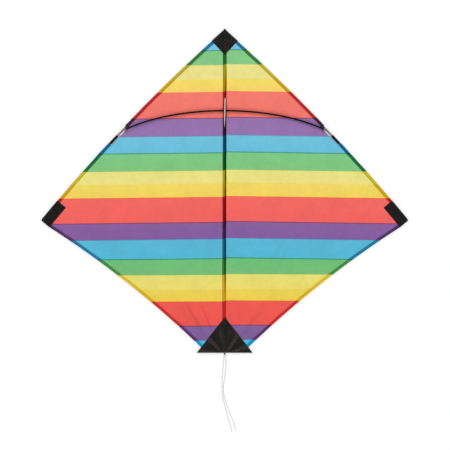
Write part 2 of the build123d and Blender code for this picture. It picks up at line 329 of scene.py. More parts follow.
def stripe_colour(m, height, doubled):
    """The stripes, from the lowest one up. Each laps over the next one down, which shows through as a
    band of painted shade.
    """
    top = 3 if doubled else 1
    colour = srgb(*STRIPES[-1][top])
    for stripe, following in reversed(list(zip(STRIPES, STRIPES[1:]))):
        edge, single = following[0], stripe[2]
        if hue_of(following[1]) != hue_of(single):
            lap_width, strength = SEAMS[hue_of(single)]
            lap = m.between(height, edge - lap_width - SEAM_BLUR, edge - lap_width, 0.0, strength)
            colour = m.mix(lap, colour, srgb(*single), "MULTIPLY")
        own = m.mix(m.between(height, edge, stripe[0]), srgb(*stripe[top + 1]), srgb(*stripe[top]))
        colour = m.mix(m.between(height, edge - SEAM_BLUR, edge), colour, own)
    return colour


def rod_shadow(m, x, y):
    """The dark line along the spine's sleeve, at the rod's side."""
    offset, slope = SPINE_DRIFT
    centre = m.maths("MULTIPLY_ADD", y, slope, (offset + 2.7) * MM)
    away = m.maths("ABSOLUTE", m.maths("SUBTRACT", x, centre))
    line = m.between(away, 0.0011, 0.0025, 1.0, 0.0)
    along = m.node("ShaderNodeCombineXYZ", {"Y": y}).outputs[0]
    uneven = m.between(m.noise(along, 22.0, 1.0), 0.35, 0.6, 0.72, 0.96)
    ends = m.times(m.between(y, -0.33, -0.2), m.between(y, 0.36, 0.24))
    dark = m.times(line, ends, uneven)
    return m.maths("MULTIPLY_ADD", dark, -1.0, 1.0)


def striped_cloth(name, doubled):
    """Thin woven polyester in stripes. Light comes through it, so where it is doubled the colours are
    painted darker and richer, as two layers with light behind them look.
    """
    m = Material(name, Roughness=0.66, Specular_IOR_Level=0.03 if doubled else 0.14)
    vector, x, y, _ = m.position()
    colour = stripe_colour(m, stripe_height(m, x, y), doubled)
    patchy = m.between(m.noise(vector, 16.0, 3.0), 0.3, 0.7, 0.97, 1.03)
    mottled = m.between(m.noise(vector, 80.0, 2.0), 0.3, 0.7, 0.975, 1.02)
    threads = m.between(m.noise(vector, 900.0, 1.0), 0.3, 0.7, 0.98, 1.02)
    tone = m.times(patchy, mottled, threads)
    # Doubled cloth: its darker, richer colour is painted shade from light through two layers. It is
    # deeper and darker still over the spine's sleeve, and rod_shadow adds a painted shadow line.
    if doubled:
        trailing = m.between(y, -0.12, -0.09, 1.22, 1.0)
        at_spine = m.between(m.maths("ABSOLUTE", x), 0.007, 0.012, 1.0, 0.0)
        deeper = m.maths("MULTIPLY_ADD", at_spine, 0.14, 1.0)
        colour = m.node("ShaderNodeGamma", {"Color": colour, "Gamma": deeper}).outputs[0]
        loss = m.between(y, -0.3, -0.22, -0.02, -0.22)
        lost = m.maths("MULTIPLY_ADD", at_spine, loss, 1.0)
        tone = m.times(tone, lost, trailing, rod_shadow(m, x, y))
    else:
        # Painted shade along the sail's creases darkens the single cloth.
        crease_shade = m.node("ShaderNodeAttribute", {}, attribute_name="crease_shade").outputs["Fac"]
        tone = m.times(tone, m.maths("SUBTRACT", 1.0, crease_shade))
    tone = m.times(tone, CLOTH_TONE)
    shade = m.node("ShaderNodeCombineColor", {0: tone, 1: tone, 2: tone}).outputs[0]
    m.colour(m.mix(1.0, colour, shade, "MULTIPLY"))
    m.roughness(m.noise(vector, 60.0), 0.3, 0.7, 0.6, 0.72)
    m.bump(m.weave(vector, 0.00045), 0.25, 0.00006)
    return m.made


def patch_cloth():
    """Black coated nylon, a coarser weave with a dull shine, and a painted highlight on the tail patch's
    raised folds.
    """
    m = Material("black_patch_cloth", Roughness=0.45, Specular_IOR_Level=0.17)
    vector, x, *_ = m.position()
    wear = m.between(m.noise(vector, 45.0, 4.0), 0.35, 0.75)
    wear = m.times(wear, m.between(m.maths("ABSOLUTE", x), 0.2, 0.4, 1.0, 0.3))
    colour = m.mix(wear, srgb(6, 4, 3), srgb(24, 20, 17))
    # Painted highlight on the raised folds of the tail patch's fan, from its point attribute.
    painted_fold_highlight = m.node("ShaderNodeAttribute", {}, attribute_name="fold_highlight").outputs["Fac"]
    m.colour(m.mix(m.times(painted_fold_highlight, 0.4), colour, srgb(62, 54, 48)))
    m.roughness(m.noise(vector, 120.0, 3.0), 0.3, 0.7, 0.36, 0.5)
    m.bump(m.weave(vector, 0.0007), 0.5, 0.00012)
    return m.made


def glass_fibre():
    """Pultruded rod: nearly black, glossy, with faint streaks along its length."""
    m = Material("glass_fibre_rod", Roughness=0.3, Specular_IOR_Level=0.08)
    vector, *_ = m.position()
    streaks = m.noise(vector, 400.0, 3.0)
    m.colours(streaks, 0.35, 0.7, srgb(4, 3, 4), srgb(12, 9, 10))
    m.roughness(streaks, 0.3, 0.7, 0.22, 0.36)
    m.bump(streaks, 0.15, 0.00005)
    return m.made


def clear_pvc():
    """Soft clear tube, greyed and slightly cloudy."""
    m = Material("clear_pvc", Roughness=0.22, Alpha=0.2, Specular_IOR_Level=0.5)
    vector, *_ = m.position()
    cloud = m.noise(vector, 220.0, 3.0)
    m.colours(cloud, 0.3, 0.7, srgb(150, 146, 142), srgb(182, 178, 174))
    m.roughness(cloud, 0.3, 0.7, 0.16, 0.34)
    m.bump(m.noise(vector, 500.0, 2.0), 0.12, 0.00008)
    return m.made


def black_soft(name, roughness, grain):
    """Vinyl or rubber with a fine moulded grain."""
    m = Material(name, Roughness=roughness, Specular_IOR_Level=0.12)
    vector, *_ = m.position()
    speck = m.noise(vector, grain, 3.0)
    m.colours(speck, 0.3, 0.75, srgb(7, 7, 9), srgb(18, 18, 20))
    m.roughness(speck, 0.3, 0.7, roughness - 0.08, roughness + 0.1)
    m.bump(speck, 0.3, 0.00008)
    return m.made


def woven_tape():
    """White woven tape of the keeper strap, painted pinkish grey for light from the red cloth beneath
    that shows through it, and darker in the weave's hollows as painted shade.
    """
    m = Material("white_tape", Roughness=0.7, Specular_IOR_Level=0.2)
    vector, *_ = m.position()
    weave = m.weave(vector, 0.0006)
    # Painted shade in the weave's hollows, over a pinkish grey painted for the red cloth showing
    # through.
    m.colours(weave, 0.2, 0.9, srgb(172, 150, 148), srgb(204, 184, 182))
    m.bump(weave, 0.6, 0.00015)
    return m.made


def braided(name, dark, light):
    """A thin braided cord: strands that cross it slantwise."""
    m = Material(name, Roughness=0.75, Specular_IOR_Level=0.3)
    _, x, y, z = m.position()
    sets = []
    for slant in (1.0, -1.0):
        tilt = m.maths("MULTIPLY_ADD", x, slant * 2.4, m.maths("MULTIPLY_ADD", z, 2.4, y))
        sets.append(m.maths("SINE", m.times(tilt, 2 * math.pi / 0.0011)))
    height = m.maths("MAXIMUM", *sets)
    # Painted shade: the grooves between strands are darker and the strand tops lighter.
    m.colours(height, -0.6, 1.0, dark, light)
    m.bump(height, 0.5, 0.00012)
    return m.made


def thread(name, dark, light):
    """Sewing thread."""
    m = Material(name, Roughness=0.55, Specular_IOR_Level=0.2)
    vector, *_ = m.position()
    twist = m.noise(vector, 2600.0, 1.0)
    m.colours(twist, 0.3, 0.7, dark, light)
    m.bump(twist, 0.4, 0.00005)
    return m.made


# Geometry of the sail's edges


class BowedEdge:
    """One side of the sail: a long shallow arc, as in the CAD. A positive bow bulges outwards."""

    def __init__(self, start, end, bow):
        start, end = np.array(start, float), np.array(end, float)
        chord = end - start
        size = np.linalg.norm(chord)
        outward = np.array([-chord[1], chord[0]]) / size
        self.bulge = math.copysign(1, bow)
        self.radius = size**2 / (8 * abs(bow)) + abs(bow) / 2
        self.centre = (start + end) / 2 + outward * (bow - self.bulge * self.radius)
        first = start - self.centre
        self.first_angle = math.atan2(first[1], first[0])
        self.length = 2 * self.radius * math.asin(size / 2 / self.radius)

    def outward(self, station):
        angle = self.first_angle - self.bulge * np.asarray(station, float) / self.radius
        return np.stack([np.cos(angle), np.sin(angle)], axis=-1) * self.bulge

    def point(self, station, inset=0.0):
        """Points that far along the edge and that far inside the sail."""
        reach = self.radius * self.bulge - np.asarray(inset, float)
        return self.centre + self.outward(station) * np.expand_dims(reach, -1)

    def inset_of(self, x, y):
        return self.bulge * (self.radius - np.hypot(x - self.centre[0], y - self.centre[1]))

    def station_of(self, x, y):
        angle = np.arctan2(y - self.centre[1], x - self.centre[0])
        turned = np.unwrap(np.atleast_1d(angle - self.first_angle), period=2 * math.pi)
        turned = (turned + math.pi) % (2 * math.pi) - math.pi
        return -self.bulge * turned * self.radius

    def x_at(self, y, inset):
        """Where a line of constant y meets the edge, that far inside the sail."""
        reach = self.radius - self.bulge * inset
        across = np.sqrt(np.maximum(reach**2 - (y - self.centre[1]) ** 2, 0.0))
        return self.centre[0] + self.bulge * across


LEADING = BowedEdge((0, NOSE_Y), (HALF_SPAN, TIP_Y), LEADING_BOW)
TIP_INNER = LEADING.point(LEADING.length, POCKET_WIDTH)
TRAILING = BowedEdge(TIP_INNER, (FOOT_HALF, FOOT_Y), -TRAILING_HOLLOW)


def smooth(value, low, high):
    t = np.clip((value - low) / (high - low), 0, 1)
    return t * t * (3 - 2 * t)


def beyond_line(x, y, start, end):
    """Distance of points from the line through start and end, positive to its right."""
    (x0, y0), (x1, y1) = start, end
    size = math.hypot(x1 - x0, y1 - y0)
    return ((x - x0) * (y1 - y0) - (y - y0) * (x1 - x0)) / size


def make_waves(wavelength, count=7):
    """Seeded waves for ripples(): each a turn rate along x, one along y, and a phase."""
    headings = rng.uniform(0, 2 * math.pi, count)
    turns = 2 * math.pi / (wavelength * rng.uniform(0.75, 1.5, count))
    phases = rng.uniform(0, 2 * math.pi, count)
    return np.stack([turns * np.cos(headings), turns * np.sin(headings), phases], axis=1)


def ripples(x, y, waves):
    """Soft noise, mostly from -1 to 1."""
    total = sum(np.sin(across * x + along * y + phase) for across, along, phase in waves)
    return total / math.sqrt(2 * len(waves))


# Creases in the cloth: (points with signed x, width, height, how much painted shade darkens them)
CREASES = [
    ([(-108, -303), (-86, -338), (-70, -364), (-55, -388)], 3.4, 0.9, 0.2),
    ([(-66, -303), (-50, -344), (-41, -366), (-33, -382)], 3.0, 0.8, 0.2),
    ([(-98, -340), (-78, -362), (-58, -396)], 4.5, 0.6, 0.09),
    ([(-152, -262), (-120, -316), (-92, -352)], 8.0, 0.8, 0.05),
    ([(96, -318), (76, -352), (58, -380), (50, -392)], 5.5, 0.8, 0.12),
    ([(112, -300), (98, -330), (80, -352)], 5.0, 0.6, 0.07),
    ([(36, -322), (40, -346), (46, -362)], 4.0, 0.5, 0.07),
    ([(162, -120), (150, -150), (132, -178), (116, -210)], 7.0, 0.9, 0.06),
    ([(176, -150), (160, -176), (150, -205)], 6.0, 0.7, 0.05),
    ([(262, 140), (214, 60), (150, -40)], 14.0, 0.7, 0.0),
    ([(-262, 140), (-220, 52), (-170, -50)], 14.0, 0.7, 0.0),
    ([(440, -60), (360, -84), (270, -100)], 12.0, 0.7, 0.0),
    ([(-440, -62), (-350, -92), (-250, -104)], 12.0, 0.7, 0.0),
]


def crease_strength(x, y, points, width):
    """1 along a line of points, less away from it and towards both its ends."""
    points = np.array(points, float)
    nearest = np.full(np.shape(x), np.inf)
    share = np.zeros(np.shape(x))
    count = len(points) - 1
    for index, (start, end) in enumerate(zip(points, points[1:])):
        run = end - start
        along = ((x - start[0]) * run[0] + (y - start[1]) * run[1]) / (run @ run)
        t = np.clip(along, 0, 1)
        away = np.hypot(x - start[0] - t * run[0], y - start[1] - t * run[1])
        closer = away < nearest
        nearest = np.where(closer, away, nearest)
        share = np.where(closer, (index + t) / count, share)
    ends = np.clip(np.sin(math.pi * np.clip(share, 0.02, 0.98)), 0, 1) ** 0.6
    return ends * np.exp(-((nearest / width) ** 2))


class SailSurface:
    """How far the sail lies above or below the rods' plane, on one side of the spine."""

    def __init__(self, side):
        self.side = side
        self.large, self.middle, self.small = (make_waves(size) for size in (210.0, 46.0, 19.0))

    def height(self, x, y):
        """x is the distance from the spine."""
        inset = LEADING.inset_of(x, y)
        station = LEADING.station_of(x, y)
        pocket = np.maximum(LEADING.length - POCKET_LENGTH - station, inset - POCKET_WIDTH)
        tail = beyond_line(x, y, (TAIL_HALF, FOOT_Y), (0, TAIL_APEX))
        nose = beyond_line(x, y, NOSE_SIDE, (0, NOSE_FOOT))
        hold = smooth(x, 5, 60) * smooth(inset, 10, 55) * smooth(pocket, 2, 50)
        hold *= smooth(tail, 2, 32) * smooth(nose, 2, 40)
        free = smooth(TRAILING.inset_of(x, y), 0, 70)
        sag = -2.1 - 0.5 * ripples(x, y, self.large)
        across = x * self.side
        folds = sum(high * crease_strength(across, y, line, wide) for line, wide, high, _ in CREASES)
        small = 0.28 * ripples(x, y, self.middle) + 0.1 * ripples(x, y, self.small)
        height = hold * ((0.45 + 0.55 * free) * sag + small) + smooth(tail, 2, 20) * folds
        return np.clip(height, -3.7, 2.4)

    def painted_crease_shade(self, x, y):
        """Painted shade along the creases: how much darker the cloth is made there."""
        across = x * self.side
        lines = (dark * crease_strength(across, y, line, wide) for line, wide, _, dark in CREASES)
        return np.clip(sum(lines), 0, 0.3)


SURFACES = {side: SailSurface(side) for side in (RIGHT, LEFT)}


# Making pieces


def placed(name, data):
    """A new object in the scene."""
    made = bpy.data.objects.new(name, data)
    bpy.context.scene.collection.objects.link(made)
    return made


def mesh_piece(name, points, faces, material, flip=False):
    """A mesh object from points in millimetres."""
    mesh = bpy.data.meshes.new(name)
    if flip:
        faces = [face[::-1] for face in faces]
    mesh.from_pydata((np.asarray(points) * MM).tolist(), [], faces)
    mesh.polygons.foreach_set("use_smooth", [True] * len(faces))
    mesh.materials.append(material)
    return placed(name, mesh)


def grid_faces(rows, columns, around=False):
    """Quads over a grid of points. around joins each row's last point to its first."""
    faces = []
    wide = columns if around else columns - 1
    for row in range(rows - 1):
        for column in range(wide):
            a = row * columns + column
            b = row * columns + (column + 1) % columns
            faces.append((a, b, b + columns, a + columns))
    return faces


def mirrored(points, side):
    return np.asarray(points) * np.array([side, 1, 1])


def thicken(piece, thickness, offset=0.0, rim=True):
    solid = piece.modifiers.new("cloth", "SOLIDIFY")
    solid.thickness = thickness * MM
    solid.offset = offset
    solid.use_rim = rim
    return piece


def along_edge(edge, stations, section, side):
    """Grid points of a section carried along an edge.

    section(station) gives an array of (inset, height above the rods' plane).
    """
    rows = []
    for station in stations:
        profile = section(station)
        plan = edge.point(station, profile[:, 0])
        rows.append(np.column_stack([plan, profile[:, 1] + ROD_Z]))
    return mirrored(np.concatenate(rows), side)


def steps(low, high, size):
    return np.linspace(low, high, round(abs(high - low) / size) + 1)


def tube_along(points, radii, sides=12, closed_ends=True):
    """A round tube through points with a radius at each, as (points, faces)."""
    points = np.asarray(points, float)
    tangents = np.gradient(points, axis=0)
    tangents /= np.linalg.norm(tangents, axis=1, keepdims=True)
    up = np.array([0.0, 0.0, 1.0])
    if abs(tangents[0] @ up) > 0.9:
        up = np.array([0.0, 1.0, 0.0])
    rings = []
    across = np.cross(tangents[0], up)
    for point, tangent, radius in zip(points, tangents, radii):
        across = across - tangent * (across @ tangent)
        across /= np.linalg.norm(across)
        other = np.cross(tangent, across)
        angles = np.arange(sides) * 2 * math.pi / sides
        ring = np.outer(np.cos(angles), across) + np.outer(np.sin(angles), other)
        rings.append(point + ring * radius)
    faces = grid_faces(len(points), sides, around=True)
    made = np.concatenate(rings)
    if closed_ends:
        last = (len(points) - 1) * sides
        faces.append(tuple(range(sides))[::-1])
        faces.append(tuple(range(last, last + sides)))
    return made, faces


def stitches(name, line, up, material, length=2.1, gap=0.9, radius=0.24):
    """A row of lockstitches, each a short bowed thread, along a line of points.

    up gives the surface's direction at each point.
    """
    line, up = np.asarray(line, float), np.asarray(up, float)
    run = np.concatenate([[0], np.cumsum(np.linalg.norm(np.diff(line, axis=0), axis=1))])
    starts = np.arange(gap, run[-1] - length - gap, length + gap)
    shares = np.array([0.0, 0.2, 0.8, 1.0])
    sizes = np.array([0.5, 1.0, 1.0, 0.5]) * radius
    lifts = np.array([-0.4, 0.7, 0.7, -0.4]) * radius
    points, faces = [], []
    for start in starts:
        at = start + shares * length
        centre = np.stack([np.interp(at, run, line[:, axis]) for axis in range(3)], axis=1)
        lift = np.stack([np.interp(at, run, up[:, axis]) for axis in range(3)], axis=1)
        made, rings = tube_along(centre + lift * lifts[:, None], sizes, sides=5)
        offset = len(points) * len(made)
        points.append(made)
        faces += [tuple(i + offset for i in face) for face in rings]
    return mesh_piece(name, np.concatenate(points), faces, material)


def bend(piece, side, start, end):
    """Bakes the piece's transform into its mesh. start and end are not used."""
    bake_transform(piece)


def stands_for(piece, node, body=None):
    if body:
        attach(piece, body)
    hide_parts(node)


def sew(name, plan, height, face, side, thread="thread"):
    """A row of stitches on the back (face 1) or the front (face -1) of the cloth."""
    line = mirrored(np.column_stack([plan, height]), side)
    up = np.tile([0, 0, face], (len(line), 1))
    return stitches(name, line, up, MATERIALS[thread])


LAYERS = {1: "back", -1: "front"}


def recalculate(piece):
    """Turns every face outwards."""
    work = bmesh.new()
    work.from_mesh(piece.data)
    bmesh.ops.recalc_face_normals(work, faces=work.faces)
    work.to_mesh(piece.data)
    work.free()
    return piece


make_camera()

MATERIALS = {
    "sail": striped_cloth("striped_sail_cloth", doubled=False),
    "hem": striped_cloth("hemmed_sail_cloth", doubled=True),
    "patch": patch_cloth(),
    "rod": glass_fibre(),
    "pvc": clear_pvc(),
    "vinyl": black_soft("black_vinyl", 0.38, 700.0),
    "rubber": black_soft("black_rubber", 0.52, 900.0),
    "tape": woven_tape(),
    "cord": braided("white_cord", srgb(172, 171, 166), srgb(200, 199, 195)),
    "knot": braided("black_cord", srgb(14, 14, 14), srgb(44, 42, 40)),
    "thread": thread("grey_thread", srgb(84, 76, 78), srgb(122, 114, 114)),
    "dark thread": thread("black_thread", srgb(24, 23, 22), srgb(46, 44, 42)),
}


# Tail ties and their knot


def tail_tie(name, route, node):
    curve = bpy.data.curves.new(name, "CURVE")
    curve.dimensions = "3D"
    curve.bevel_depth = TIE_DIAMETER / 2
    curve.bevel_resolution = 4
    curve.resolution_u = 10
    curve.use_fill_caps = True
    spline = curve.splines.new("NURBS")
    spline.points.add(len(route) - 1)
    for point, place in zip(spline.points, route):
        point.co = (*place, 1.0)
    spline.order_u = 3
    spline.use_endpoint_u = True
    curve.materials.append(MATERIALS["cord"])
    tie = placed(name, curve)
    stands_for(tie, node, "spine")


def tie_knot():
    """An overhand knot: a trefoil of black cord, pulled tight."""
    low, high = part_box("tail_tie_knot")
    centre, reach = (low + high) / 2 / MM, (high.x - low.x) / 2 / MM
    turn = np.linspace(0, 2 * math.pi, 73)[:-1]
    x = np.sin(turn) + 2 * np.sin(2 * turn)
    y = np.cos(turn) - 2 * np.cos(2 * turn)
    z = -np.sin(3 * turn)
    strand = 0.34 * reach
    scale = (reach - strand) / 3
    line = np.stack([x * scale, y * scale, z * scale * 1.5], axis=1) + np.array(centre)
    looped = np.concatenate([line[-1:], line, line[:1]])
    points, _ = tube_along(looped, np.full(len(looped), strand), sides=12, closed_ends=False)
    points = points[12:-12]
    faces = grid_faces(len(line), 12, around=True)
    last = (len(line) - 1) * 12
    shift = int(np.argmin(np.linalg.norm(points[:12] - points[last], axis=1)))
    for i in range(12):
        a, b = last + i, last + (i + 1) % 12
        faces.append((a, b, (i + 1 + shift) % 12, (i + shift) % 12))
    knot = recalculate(mesh_piece("tail_knot", points, faces, MATERIALS["knot"]))
    stands_for(knot, "tail_tie_knot", "spine")
    return knot


knot = tie_knot()
tail_tie("tail_tie_strand_left", TIE_LEFT, "tail_tie_left")
tail_tie("tail_tie_strand_right", TIE_RIGHT, "tail_tie_right")


# Sail panels


def panel_outline(y):
    """Where the sail's cloth ends, away from the spine, at each y."""
    station = LEADING.station_of(LEADING.x_at(y, SAIL_INSET), y)
    marks = [mark + shift for mark in CUTOUT for shift in (-1.5, 1.5)]
    first, second = CUTOUT_INSETS
    inset = np.interp(station, marks, [SAIL_INSET, first, first, second, second, SAIL_INSET])
    x = LEADING.x_at(y, inset)
    outer, inner = LEADING.point(LEADING.length - 1, np.array([0.0, POCKET_WIDTH + 20]))
    tip_x = outer[0] + (y - outer[1]) * (inner[0] - outer[0]) / (inner[1] - outer[1])
    below_tip = np.where(y < outer[1] + 5, tip_x, np.inf)
    return np.minimum(np.minimum(x, below_tip), TRAILING.x_at(y, HEM_SAIL_INSET))


def sail_panel(side):
    rows = steps(FOOT_Y + 1.6, 423.0, 3.9)
    columns = 96
    spread = np.linspace(0, 1, columns) ** 1.25
    y = np.repeat(rows[:, None], columns, axis=1)
    outer = panel_outline(rows)[:, None]
    x = SPINE_SAIL_X + (outer - SPINE_SAIL_X) * spread
    z = ROD_Z + SURFACES[side].height(x, y)
    points = mirrored(np.stack([x, y, z], axis=-1).reshape(-1, 3), side)
    name = SIDE_NAMES[side]
    faces = grid_faces(len(rows), columns)
    panel = mesh_piece(f"sail_cloth_{name}", points, faces, MATERIALS["sail"], flip=side == LEFT)
    crease_shade = panel.data.attributes.new("crease_shade", "FLOAT", "POINT")
    crease_shade.data.foreach_set("value", SURFACES[side].painted_crease_shade(x, y).ravel())
    thicken(panel, CLOTH)
    bend(panel, side, *FOLD)
    stands_for(panel, f"sail_panel_{name}")


# Sleeves, hems and stitching


def sleeve_profile(station, tab, seed):
    """Half of a sleeve's section, from its outer fold to its stitched edge, over the rod."""
    waver = 0.25 * math.sin(station / 17.0 + seed) + 0.15 * math.sin(station / 6.3 + 2 * seed)
    puff = 1 + 0.05 * math.sin(station / 9.0 + seed) + 0.04 * math.sin(station / 3.7 + 3 * seed)
    rod_top = (ROD_R + 0.35) * puff
    insets = np.array([0.25, 0.45, 1.2, 2.2, 3.3, 4.0, 4.5, 5.0, 5.7, 6.6, 7.5, 8.2, tab])
    heights = np.array([0.0, 0.35, 0.95, 1.55, 2.08, 2.3, 2.35, 2.3, 2.02, 1.35, 0.72, 0.4, 0.33])
    heights = heights * rod_top / 2.35
    insets = insets + np.where(insets < 2, waver * 0.6, 0) + np.where(insets > 7, waver, 0)
    return insets, heights


def folded_over(insets, heights):
    """A folded sheet's whole section, from its lower edge round the fold to its upper edge."""
    lower = np.column_stack([insets[::-1], -heights[::-1]])
    upper = np.column_stack([insets, heights])
    return np.concatenate([lower[:-1], upper]) if heights[0] == 0 else np.concatenate([lower, upper])


def leading_sleeve(side, part, stations, seed):
    name = SIDE_NAMES[side]
    places = steps(*stations, 3.0)

    def section(station):
        insets, heights = sleeve_profile(station, SLEEVE_TAB, seed)
        near_end = min(station - stations[0], stations[1] - station)
        flare = 1 + 0.1 * math.exp(-near_end / 3.0)
        return folded_over(insets, heights * flare)

    points = along_edge(LEADING, places, section, side)
    columns = len(points) // len(places)
    faces = grid_faces(len(places), columns)
    title = f"leading_edge_sleeve_{name}" if part == "upper" else f"leading_edge_sleeve_tip_{name}"
    sleeve = mesh_piece(title, points, faces, MATERIALS["hem"], flip=side == RIGHT)
    thicken(sleeve, CLOTH)
    stands_for(sleeve, f"leading_edge_sleeve_{part}_{name}", f"{name}_wing")
    plan = LEADING.point(places, np.full(len(places), SLEEVE_TAB - 1.4))
    for face, layer in LAYERS.items():
        height = np.full(len(places), ROD_Z + face * (0.66 + CLOTH / 2))
        row = sew(f"sleeve_stitching_{part}_{layer}_{name}", plan, height, face, side)
        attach(row, f"{name}_wing")


def trailing_hem(side, seed):
    name = SIDE_NAMES[side]
    places = steps(-1.5, TRAILING.length - 3.0, 3.2)
    insets = np.array([0.2, 0.35, 1.0, 2.4, 4.3, 6.0, 7.3, HEM_WIDTH])

    def section(station):
        waver = 0.2 * math.sin(station / 14.0 + seed) + 0.12 * math.sin(station / 5.1 + 2 * seed)
        puff = 1 + 0.25 * math.sin(station / 11.0 + seed) * math.sin(station / 4.3)
        heights = np.array([0.0, 0.24, 0.42, 0.5 * puff, 0.52 * puff, 0.44, 0.36, 0.33])
        heights = heights * (0.5 + 0.5 * smooth(station, 0, 4))
        shifted = insets + np.where(insets > 7, waver, waver * 0.4)
        profile = folded_over(shifted, heights)
        plan = TRAILING.point(station, profile[:, 0])
        profile[:, 1] += SURFACES[side].height(plan[:, 0], plan[:, 1])
        return profile

    points = along_edge(TRAILING, places, section, side)
    columns = len(points) // len(places)
    faces = grid_faces(len(places), columns)
    hem = mesh_piece(f"trailing_hem_{name}", points, faces, MATERIALS["hem"], flip=side == RIGHT)
    thicken(hem, CLOTH)
    stands_for(hem, f"trailing_edge_hem_{name}", f"{name}_wing")
    plan = TRAILING.point(places, np.full(len(places), HEM_WIDTH - 1.3))
    sail = ROD_Z + SURFACES[side].height(plan[:, 0], plan[:, 1])
    for face, layer in LAYERS.items():
        height = sail + face * (0.37 + CLOTH / 2)
        row = sew(f"hem_stitching_{layer}_{name}", plan, height, face, side)
        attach(row, f"{name}_wing")


def spine_drift(y):
    """How far right the sleeve sits. Inside the tail patch it is back in the middle."""
    offset, slope = SPINE_DRIFT
    return np.clip(offset + slope * y, -1.7, 0.7) * smooth(y, TAIL_APEX - 32, TAIL_APEX - 7)


def spine_sleeve():
    """A doubled strip round the spine rod, stitched down along both its sides."""
    half = np.array([0.0, 0.9, 1.7, 2.4, 2.9, 3.4, 4.1, SPINE_SLEEVE_HALF])
    heights = np.array([2.45, 2.38, 2.05, 1.5, 0.95, 0.6, 0.42, 0.36])
    across = np.concatenate([-half[:0:-1], half])
    heights = np.concatenate([heights[:0:-1], heights])
    places = steps(*SPINE_SLEEVE, 3.2)
    rows = []
    for y in places:
        puff = 1 + 0.05 * math.sin(y / 8.0) + 0.04 * math.sin(y / 3.3 + 1)
        waver = 0.2 * math.sin(y / 15.0) + 0.12 * math.sin(y / 5.7 + 2)
        x = across + smooth(np.abs(across), 2.0, 3.6) * (spine_drift(y) + waver)
        upper = np.column_stack([x, np.full(len(x), y), ROD_Z + heights * puff])
        lower = np.column_stack([x, np.full(len(x), y), ROD_Z - heights * puff])[::-1]
        rows.append(np.concatenate([upper, lower]))
    faces = grid_faces(len(places), 2 * len(across), around=True)
    sleeve = mesh_piece("spine_sleeve_cloth", np.concatenate(rows), faces, MATERIALS["hem"])
    recalculate(sleeve)
    thicken(sleeve, CLOTH)
    stands_for(sleeve, "spine_sleeve", "spine")
    for title, share in (("left", -1), ("right", 1)):
        x = share * (SPINE_SLEEVE_HALF - 0.9) + spine_drift(places)
        plan = np.column_stack([x, places])
        for face, layer in LAYERS.items():
            height = np.full(len(places), ROD_Z + face * 0.52)
            row = sew(f"spine_stitching_{layer}_{title}", plan, height, face, RIGHT)
            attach(row, "spine")


for side in (RIGHT, LEFT):
    sail_panel(side)
    leading_sleeve(side, "upper", UPPER_SLEEVE, 1.3 + side)
    leading_sleeve(side, "lower", LOWER_SLEEVE, 3.1 + side)
    trailing_hem(side, 2.2 + side)
spine_sleeve()


# Spreader


def arc_through(start, tangent, end):
    """Centre and angles of the arc that leaves start along tangent and reaches end."""
    start, tangent, end = (np.array(v, float) for v in (start, tangent, end))
    tangent = tangent / np.linalg.norm(tangent)
    normal = np.array([-tangent[1], tangent[0]])
    chord = end - start
    radius = (chord @ chord) / (2 * (chord @ normal))
    centre = start + normal * radius
    first = math.atan2(*(start - centre)[::-1])
    last = math.atan2(*(end - centre)[::-1])
    return centre, abs(radius), first, last


def arc_points(arc, count):
    centre, radius, first, last = arc
    angles = np.linspace(first, last, count)
    return centre + radius * np.stack([np.cos(angles), np.sin(angles)], axis=1)


def spreader_line():
    """The right half of the spreader's middle line."""
    crown = arc_through((0, SPREADER_APEX), (1, 0), SPREADER_KNEE)
    points = arc_points(crown, 34)
    flank = arc_through(points[-1], points[-1] - points[-2], SPREADER_END)
    return np.concatenate([points, arc_points(flank, 34)[1:]])


def spreader(side):
    name = SIDE_NAMES[side]
    plan = spreader_line()
    line = mirrored(np.column_stack([plan, np.full(len(plan), SPREADER_Z)]), side)
    points, faces = tube_along(line, np.full(len(line), SPREADER_R), sides=20)
    rod = recalculate(mesh_piece(f"spreader_{name}_half", points, faces, MATERIALS["rod"]))
    bend(rod, side, 0, SPREADER_BEND_END)
    stands_for(rod, "spreader_rod")


for side in (RIGHT, LEFT):
    spreader(side)


# Black patches


def patch_piece(name, grid, side):
    """Black cloth over a grid of points, given for the right side."""
    faces = grid_faces(*grid.shape[:2])
    points = mirrored(grid.reshape(-1, 3), side)
    return recalculate(mesh_piece(name, points, faces, MATERIALS["patch"]))


def ridge(away, half, height):
    """The hump of cloth over a rod that is this far away."""
    return height * (1 - smooth(np.abs(away), 0.32 * half, half))


def joined(first, second):
    """Two humps that run into each other."""
    return (first**3 + second**3) ** (1 / 3)


def leading_hump(x, y):
    inset, station = LEADING.inset_of(x, y), LEADING.station_of(x, y)
    inside = smooth(station, 11, 18) * smooth(-station, -TIP_CAP_END - 4, -TIP_CAP_END + 3)
    return ridge(inset - ROD_INSET, 5.4, 2.8) * inside


PATCH_WAVES = make_waves(17.0)


def nose_rise(x, y):
    spine = ridge(x, 6.4, 2.75) * smooth(-y, -438.5, -431)
    return PATCH_GAP + joined(spine, leading_hump(x, y)) + 0.07 * ripples(x, y, PATCH_WAVES)


def nose_half_width(y):
    along_side = NOSE_SIDE[0] * (y - NOSE_FOOT) / (NOSE_SIDE[1] - NOSE_FOOT)
    flat_top = 0.05 + 2.4 * smooth(y, 430, 437)
    return np.maximum(np.minimum(along_side + 0.05, LEADING.x_at(y, -0.7)), flat_top)


